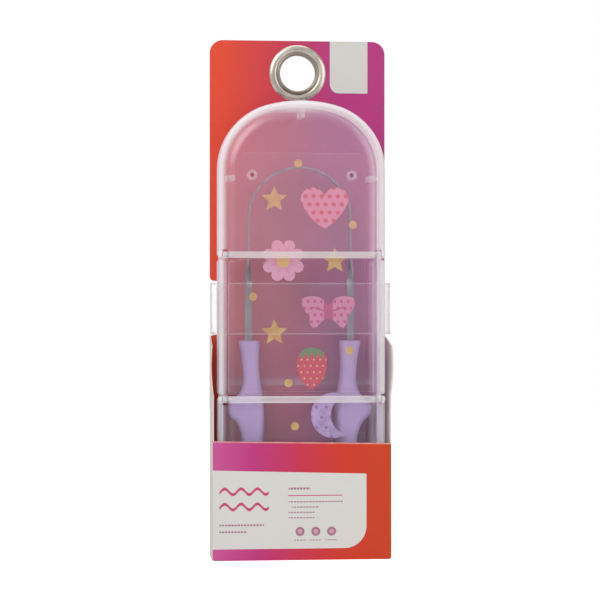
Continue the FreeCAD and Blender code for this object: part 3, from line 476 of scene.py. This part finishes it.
def frosted(name, flat_haze, rim_haze, flat_milk, tint, is_cover):
    """Milky plastic, clear on its flats and white at its rims, which scatter a lamp's light onwards."""
    material = start_material(name)
    where, across, depth, up = place(material)
    _, front, _ = facing(material)
    sideways = sums(material, "ABSOLUTE", across)
    grain = noise(material, where, 1400.0, 3.0)
    flow = noise(material, where, 30.0, 2.0, (1.0, 1.0, 0.3))
    flat = step_between(material, sums(material, "ABSOLUTE", front), 0.3, 0.9)
    wall = sums(material, "SUBTRACT", 1.0, flat)
    near_parting = step_between(material, apart(material, depth, PARTING), 0.6 * MM, 0.3 * MM)
    haze = sums(material, "MULTIPLY_ADD", flow, 0.02, flat_haze - 0.01)
    thin = haze
    haze = sums(material, "MULTIPLY_ADD", wall, SIDE_HAZE, haze)
    inside = inside_outline(material, sideways, up)
    rim = step_between(material, inside, RIM_WIDTH, 0.2 * MM)
    rim = sums(material, "POWER", rim, 1.3)
    haze = sums(material, "MULTIPLY_ADD", sums(material, "MULTIPLY", rim, flat), rim_haze, haze)
    haze = sums(material, "MULTIPLY_ADD", sums(material, "MULTIPLY", near_parting, flat), EDGE_HAZE, haze)
    if is_cover:
        haze = sums(material, "MULTIPLY_ADD", thick_spots(material, sideways, up), THICK_HAZE, haze)
        for seam in SEAMS:
            reach = apart(material, up, seam)
            barrel = step_between(material, reach, BARREL_RADIUS + 0.2 * MM, BARREL_RADIUS - 0.1 * MM)
            haze = sums(material, "MULTIPLY_ADD", barrel, BARREL_HAZE, haze)
    else:
        # Makes the tray milkier in a band between two heights, fading in from the top and ending sharply at
        # the foot
        above_foot = step_between(material, up, PALE_BAND_FOOT - 0.3 * MM, PALE_BAND_FOOT)
        pale_band = sums(material, "MULTIPLY", step_between(material, up, PALE_BAND_TOP, PALE_BAND_FOOT), above_foot)
        haze = sums(material, "MULTIPLY_ADD", sums(material, "MULTIPLY", pale_band, flat), PALE_BAND_HAZE, haze)
    milk = mixed(material, step_between(material, haze, flat_haze, 0.20), flat_milk, MILKY_WHITE)
    shaded = put(material, "ShaderNodeLightPath", {}, "Is Shadow Ray")
    held_back = sums(material, "MULTIPLY_ADD", shaded, -ONWARD_SHARE, 1.0)
    haze = sums(material, "MULTIPLY_ADD", sums(material, "SUBTRACT", haze, thin), held_back, thin)
    rough = sums(material, "MULTIPLY_ADD", grain, 0.10, 0.24)
    dome = step_between(material, inside, DOME_FOOT, DOME_HEAD)
    slope = sums(material, "MULTIPLY", dome, sums(material, "SUBTRACT", 1.0, dome))
    outer = step_between(material, depth, lid_low.y + 0.5 * MM, lid_low.y + 0.2 * MM)
    polish = sums(material, "MULTIPLY_ADD", sums(material, "MULTIPLY", slope, outer), DOME_POLISH, 0.010)
    domed = bump(material, dome, DOME_RISE)
    return finish(material, thin_plastic(material, haze, milk, tint, polish, rough, domed))


# The four pieces are one plastic, and their settings differ as painted light and shade. The upper lid and
# the bridge are milkier and paler, as if lit from above. The lower lid is clearer with fainter rims, in
# painted shade under the sleeve.
for node_name, flat_haze, rim_haze, flat_milk, tint in (
    ("case_tray", 0.038, 0.55, MILKY_FLAT, MILKY_TINT),
    ("upper_lid", 0.105, 0.62, LIT_MILK, LIT_TINT),
    ("mid_cover", 0.046, 0.62, LIT_MILK, MILKY_TINT),
    ("lower_lid", 0.030, 0.30, MILKY_FLAT, MILKY_TINT),
):
    is_cover = node_name != "case_tray"
    dress(frosted(node_name + "_frosted", flat_haze, rim_haze, flat_milk, tint, is_cover), node_name)

# Hinge pins
# Short lengths of drawn steel wire, two at each seam of the case. They are pressed into the bridge's ears,
# and the lids' barrels turn on them.
wire = start_material("drawn_wire")
wire_place, _, _, _ = place(wire)
wire_lines = noise(wire, wire_place, 900.0, 2.0, (0.1, 1.0, 1.0))
wire_surface = put(
    wire,
    "ShaderNodeBsdfPrincipled",
    {
        "Base Color": fade(wire, wire_lines, [(0.3, (0.22, 0.22, 0.23)), (0.7, (0.36, 0.36, 0.37))]),
        "Metallic": 1.0,
        "Roughness": sums(wire, "MULTIPLY_ADD", wire_lines, 0.2, 0.3),
    },
)
finish(wire, wire_surface)
dress(wire, "upper_hinge_pins", "lower_hinge_pins")

# Sticker sheet
# A clear release film that carries the stickers behind the lids. It is cut square, so that its edges catch
# the light.
FILM_WHITE = (0.95, 0.93, 0.94)
FILM_TINT = (0.99, 0.985, 0.985)
SEAL_HALF = 3.0 * MM
SEAL_STEP = 1.0 * MM


def film(name, node_name, haze, edge_highlight_haze, edge_width, side_haze, seal_haze):
    """Clear film with a painted highlight along its cut edges and, where it is a band, a ribbed seal at the
    back.
    """
    material = start_material(name)
    where, across, depth, up = place(material)
    side, _, _ = facing(material)
    low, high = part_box(node_name)
    ripple = noise(material, where, 55.0, 2.0, (1.0, 1.0, 0.4))
    half = (high.z - low.z) / 2
    reach = apart(material, up, (low.z + high.z) / 2)
    # A painted highlight on the film near its cut edges, made as extra milkiness
    lit_cut_edge = step_between(material, reach, half - edge_width, half - edge_width / 2)
    cover = sums(material, "MULTIPLY_ADD", lit_cut_edge, edge_highlight_haze, haze)
    turned = step_between(material, sums(material, "ABSOLUTE", side), 0.4, 0.9)
    cover = sums(material, "MULTIPLY_ADD", turned, side_haze, cover)
    lap = step_between(material, apart(material, across, 0.0), SEAL_HALF + 0.1 * MM, SEAL_HALF - 0.1 * MM)
    press = sums(material, "FRACT", sums(material, "DIVIDE", across, SEAL_STEP))
    seal = sums(material, "MULTIPLY", lap, sums(material, "MULTIPLY_ADD", press, 0.5, 0.5))
    behind = step_between(material, depth, high.y - 0.8 * MM, high.y - 0.6 * MM)
    cover = sums(material, "MULTIPLY_ADD", sums(material, "MULTIPLY", seal, behind), seal_haze, cover)
    rough = sums(material, "MULTIPLY_ADD", ripple, 0.08, 0.05)
    ripples = bump(material, ripple, 0.05 * MM, 0.4)
    return finish(material, thin_plastic(material, cover, FILM_WHITE, FILM_TINT, 0.010, rough, ripples))


release_film = film(
    "release_film",
    "sticker_sheet",
    haze=0.010,
    edge_highlight_haze=0.07,
    edge_width=0.5 * MM,
    side_haze=0.1,
    seal_haze=0.0,
)
dress(release_film, "sticker_sheet")

# Stickers
# Die-cut vinyl with gloss print, stuck on the front of the film: a spotted heart, a daisy, a bow,
# a strawberry, a moon, gold stars and gold dots.
STICKER_PINK = (0.80, 0.30, 0.42)
STICKER_RED = (0.66, 0.06, 0.085)
DAISY_PETAL = (0.82, 0.40, 0.52)
DAISY_CREASE = (0.58, 0.16, 0.30)
DAISY_EYE = (0.80, 0.52, 0.12)
BOW_LOOP = (0.78, 0.27, 0.42)
BOW_SPOT = (0.60, 0.07, 0.20)
BOW_FOLD = (0.50, 0.06, 0.17)
BOW_KNOT = (0.58, 0.075, 0.20)
BERRY_SEED = (0.82, 0.60, 0.30)
BERRY_LEAF = (0.13, 0.26, 0.09)
MOON_SPOT = (0.30, 0.16, 0.38)


def vinyl(name, colour_of):
    material = start_material(name)
    where, across, _, up = place(material)
    gloss = noise(material, where, 220.0, 2.0)
    surface = put(
        material,
        "ShaderNodeBsdfPrincipled",
        {
            "Base Color": colour_of(material, where, across, up),
            "Roughness": sums(material, "MULTIPLY_ADD", gloss, 0.15, 0.25),
            "Specular IOR Level": 0.4,
        },
    )
    return finish(material, surface)


def spots(material, across, up, step, radius):
    """1 on round spots in staggered rows, 0 between them."""
    row = sums(material, "DIVIDE", up, step)
    odd = sums(material, "FLOORED_MODULO", sums(material, "FLOOR", row), 2.0)
    stagger = sums(material, "MULTIPLY", odd, 0.5)
    column = sums(material, "ADD", sums(material, "DIVIDE", across, step), stagger)
    beside = sums(material, "SUBTRACT", sums(material, "FRACT", column), 0.5)
    above = sums(material, "SUBTRACT", sums(material, "FRACT", row), 0.5)
    return step_between(material, length_of(material, beside, above), radius + 0.04, radius - 0.04)


def from_middle(material, node_name, across, up):
    """How far a point lies beside and above a sticker's middle."""
    low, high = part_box(node_name)
    beside = sums(material, "SUBTRACT", across, (low.x + high.x) / 2)
    above = sums(material, "SUBTRACT", up, (low.z + high.z) / 2)
    return beside, above


def heart_print(material, where, across, up):
    return mixed(material, spots(material, across, up, 3.4 * MM, 0.27), STICKER_PINK, STICKER_RED)


def daisy_print(material, where, across, up):
    beside, above = from_middle(material, "daisy_sticker", across, up)
    reach = length_of(material, beside, above)
    turn = sums(material, "ARCTAN2", above, beside)
    fold = sums(material, "ABSOLUTE", sums(material, "COSINE", sums(material, "MULTIPLY", turn, 4.0)))
    near = step_between(material, reach, 7.5 * MM, 4.0 * MM)
    crease = sums(material, "MULTIPLY", step_between(material, fold, 0.16, 0.04), near)
    petals = mixed(material, crease, DAISY_PETAL, DAISY_CREASE)
    petals = mixed(material, step_between(material, reach, 5.5 * MM, 2.5 * MM), petals, STICKER_PINK)
    return mixed(material, step_between(material, reach, 2.9 * MM, 2.7 * MM), petals, DAISY_EYE)


def bow_print(material, where, across, up):
    beside, above = from_middle(material, "bow_sticker", across, up)
    dots = spots(material, across, up, 2.8 * MM, 0.22)
    loops = mixed(material, dots, BOW_LOOP, BOW_SPOT)
    aside = sums(material, "ABSOLUTE", beside)
    lean = apart(material, above, sums(material, "MULTIPLY", aside, 0.35))
    near = step_between(material, aside, 7 * MM, 6 * MM)
    fold = sums(material, "MULTIPLY", step_between(material, lean, 0.35 * MM, 0.2 * MM), near)
    loops = mixed(material, fold, loops, BOW_FOLD)
    return mixed(material, step_between(material, aside, 2.0 * MM, 1.8 * MM), loops, BOW_KNOT)


def strawberry_print(material, where, across, up):
    beside, above = from_middle(material, "strawberry_sticker", across, up)
    fruit = mixed(material, spots(material, across, up, 2.6 * MM, 0.14), STICKER_RED, BERRY_SEED)
    turn = sums(material, "MULTIPLY", beside, math.pi / (2.6 * MM))
    points = sums(material, "ABSOLUTE", sums(material, "SINE", turn))
    rim = sums(material, "MULTIPLY_ADD", points, 2.4 * MM, above)
    return mixed(material, step_between(material, rim, 6.6 * MM, 6.9 * MM), fruit, BERRY_LEAF)


def moon_print(material, where, across, up):
    cloud = noise(material, where, 260.0, 3.0)
    face = fade(material, cloud, [(0.35, (0.42, 0.28, 0.50)), (0.65, (0.60, 0.44, 0.68))])
    return mixed(material, spots(material, across, up, 4.2 * MM, 0.15), face, MOON_SPOT)


def gold_print(material, where, across, up):
    cloud = noise(material, where, 300.0, 2.0)
    return fade(material, cloud, [(0.35, (0.66, 0.36, 0.05)), (0.65, (0.76, 0.52, 0.13))])


for node_name, colour_of in (
    ("heart_sticker", heart_print),
    ("daisy_sticker", daisy_print),
    ("bow_sticker", bow_print),
    ("strawberry_sticker", strawberry_print),
    ("moon_sticker", moon_print),
    ("star_stickers", gold_print),
    ("dot_stickers", gold_print),
):
    dress(vinyl(node_name + "_vinyl", colour_of), node_name)

# Scraper strip
# Stainless strip, rolled and polished along its length, bent edge-on into an arch and given a quarter twist
# in each arm.
steel = start_material("polished_strip")
steel_place, _, _, _ = place(steel)
steel_lines = noise(steel, steel_place, 700.0, 3.0, (1.0, 1.0, 0.06))
steel_surface = put(
    steel,
    "ShaderNodeBsdfPrincipled",
    {
        "Base Color": fade(steel, steel_lines, [(0.3, (0.15, 0.155, 0.16)), (0.7, (0.25, 0.25, 0.255))]),
        "Metallic": 1.0,
        "Roughness": sums(steel, "MULTIPLY_ADD", steel_lines, 0.18, 0.28),
        "Normal": bump(steel, steel_lines, 0.01 * MM, 0.5),
    },
)
finish(steel, steel_surface)
dress(steel, "scraper_band")

# Handles
# Two mouldings of lavender plastic with a satin surface, each with a thumb wing on its outer side.
# They are pressed over the ends of the strip.
lavender = start_material("lavender_moulding")
lavender_place, _, _, _ = place(lavender)
lavender_cloud = noise(lavender, lavender_place, 60.0, 2.0)
lavender_grain = noise(lavender, lavender_place, 1600.0, 3.0)
lavender_colour = fade(lavender, lavender_cloud, [(0.3, (0.54, 0.385, 0.67)), (0.7, (0.60, 0.435, 0.72))])
lavender_surface = put(
    lavender,
    "ShaderNodeBsdfPrincipled",
    {
        "Base Color": lavender_colour,
        "Roughness": sums(lavender, "MULTIPLY_ADD", lavender_grain, 0.15, 0.35),
        "Subsurface Weight": 0.15,
        "Subsurface Radius": (0.002, 0.0015, 0.002),
        "Subsurface Scale": 0.5,
        "Normal": bump(lavender, lavender_grain, 0.015 * MM, 0.3),
    },
)
finish(lavender, lavender_surface)
dress(lavender, "handle_left", "handle_right")

# Clear band
# A loop of clear polyester film round the case and the card's neck, lying in the card's two notches.
# Its ends lap at the back of the card and are heat-sealed there with a ribbed jaw.
band_film = film(
    "band_film",
    "clear_band",
    haze=0.012,
    edge_highlight_haze=0.10,
    edge_width=0.7 * MM,
    side_haze=0.03,
    seal_haze=0.35,
)
dress(band_film, "clear_band")

# Studio
# The part stands on a round white table under four broad soft lamps, the strongest from the upper left.
# What the camera sees past the table is white air.
scene = bpy.context.scene
scene.view_settings.view_transform = "Standard"
scene.cycles.transparent_max_bounces = 64
FLOOR_REACH = 1.2
FLOOR_SIDES = 96
FLOOR_GLOW = 0.70
floor_mesh = bpy.data.meshes.new("table")
floor_rim = []
for corner in range(FLOOR_SIDES):
    turn = corner * math.tau / FLOOR_SIDES
    floor_rim.append((FLOOR_REACH * math.cos(turn), FLOOR_REACH * math.sin(turn), cad_box[0].z))
floor_mesh.from_pydata(floor_rim, [], [tuple(range(FLOOR_SIDES))])
table = bpy.data.objects.new("table", floor_mesh)
scene.collection.objects.link(table)


def seen_straight(material):
    """1 for what the camera sees, also in a mirror or through glass."""
    rays = put(material, "ShaderNodeLightPath", {}).node.outputs
    seen = sums(material, "MAXIMUM", rays["Is Camera Ray"], rays["Is Glossy Ray"])
    return sums(material, "MAXIMUM", seen, rays["Is Transmission Ray"])


paper = start_material("white_table")
paper_place, _, _, _ = place(paper)
paper_grain = noise(paper, paper_place, 8.0, 3.0)
paper_colour = fade(paper, paper_grain, [(0.3, (0.78, 0.78, 0.78)), (0.7, (0.80, 0.80, 0.80))])
paper_diffuse = put(paper, "ShaderNodeBsdfDiffuse", {"Color": paper_colour})
paper_glow = sums(paper, "MULTIPLY", seen_straight(paper), FLOOR_GLOW)
paper_white = put(paper, "ShaderNodeEmission", {"Color": (1.0, 1.0, 1.0), "Strength": paper_glow})
finish(paper, put(paper, "ShaderNodeAddShader", {0: paper_diffuse, 1: paper_white}))
floor_mesh.materials.append(paper)

world = bpy.data.worlds.new("studio_air")
scene.world = world
world.use_nodes = True
world.node_tree.nodes.clear()
AIR_LIGHT = 0.27
air_strength = put(world, "ShaderNodeMix", {0: seen_straight(world), 2: AIR_LIGHT, 3: 1.0})
air = put(world, "ShaderNodeBackground", {"Color": (1.0, 1.0, 1.0), "Strength": air_strength})
put(world, "ShaderNodeOutputWorld", {"Surface": air})

middle = (cad_box[0] + cad_box[1]) / 2
# Each lamp: its name, its place, its width in metres and its power in watts
for lamp_name, spot, size, power in (
    ("key_lamp", (-0.75, -1.0, 0.65), 0.9, 9.4),
    ("fill_lamp", (0.9, -0.9, 0.15), 0.9, 4.0),
    ("top_lamp", (0.0, -0.15, 1.0), 0.8, 3.2),
    ("back_lamp", (0.5, 1.1, 0.3), 0.9, 7.0),
):
    light = bpy.data.lights.new(lamp_name, "AREA")
    light.size = size
    light.energy = power
    lamp = bpy.data.objects.new(lamp_name, light)
    scene.collection.objects.link(lamp)
    lamp.location = spot
    lamp.rotation_euler = (middle - lamp.location).to_track_quat("-Z", "Y").to_euler()

# Camera
# It stands level, 0.9 m from the card and six degrees to the left of straight on. The frame's width is
# measured on the card's plane, and the small shift puts the card where the photograph has it.
CAMERA_DISTANCE = 0.9
CAMERA_TURN = math.radians(6.0)
CAMERA_HEIGHT = -96.0 * MM
FRAME_WIDTH = 254.4 * MM
CARD_CENTRE_PIXEL = 297.5
PICTURE_PIXELS = 600
camera_data = bpy.data.cameras.new("camera")
camera_data.sensor_width = 36.0
camera_data.lens = camera_data.sensor_width * CAMERA_DISTANCE / FRAME_WIDTH
camera_data.shift_x = (PICTURE_PIXELS / 2 - CARD_CENTRE_PIXEL) / PICTURE_PIXELS
camera = bpy.data.objects.new("camera", camera_data)
scene.collection.objects.link(camera)
camera.location = (
    -CAMERA_DISTANCE * math.sin(CAMERA_TURN),
    -CAMERA_DISTANCE * math.cos(CAMERA_TURN),
    CAMERA_HEIGHT,
)
camera.rotation_euler = (math.pi / 2, 0.0, -CAMERA_TURN)
scene.camera = camera
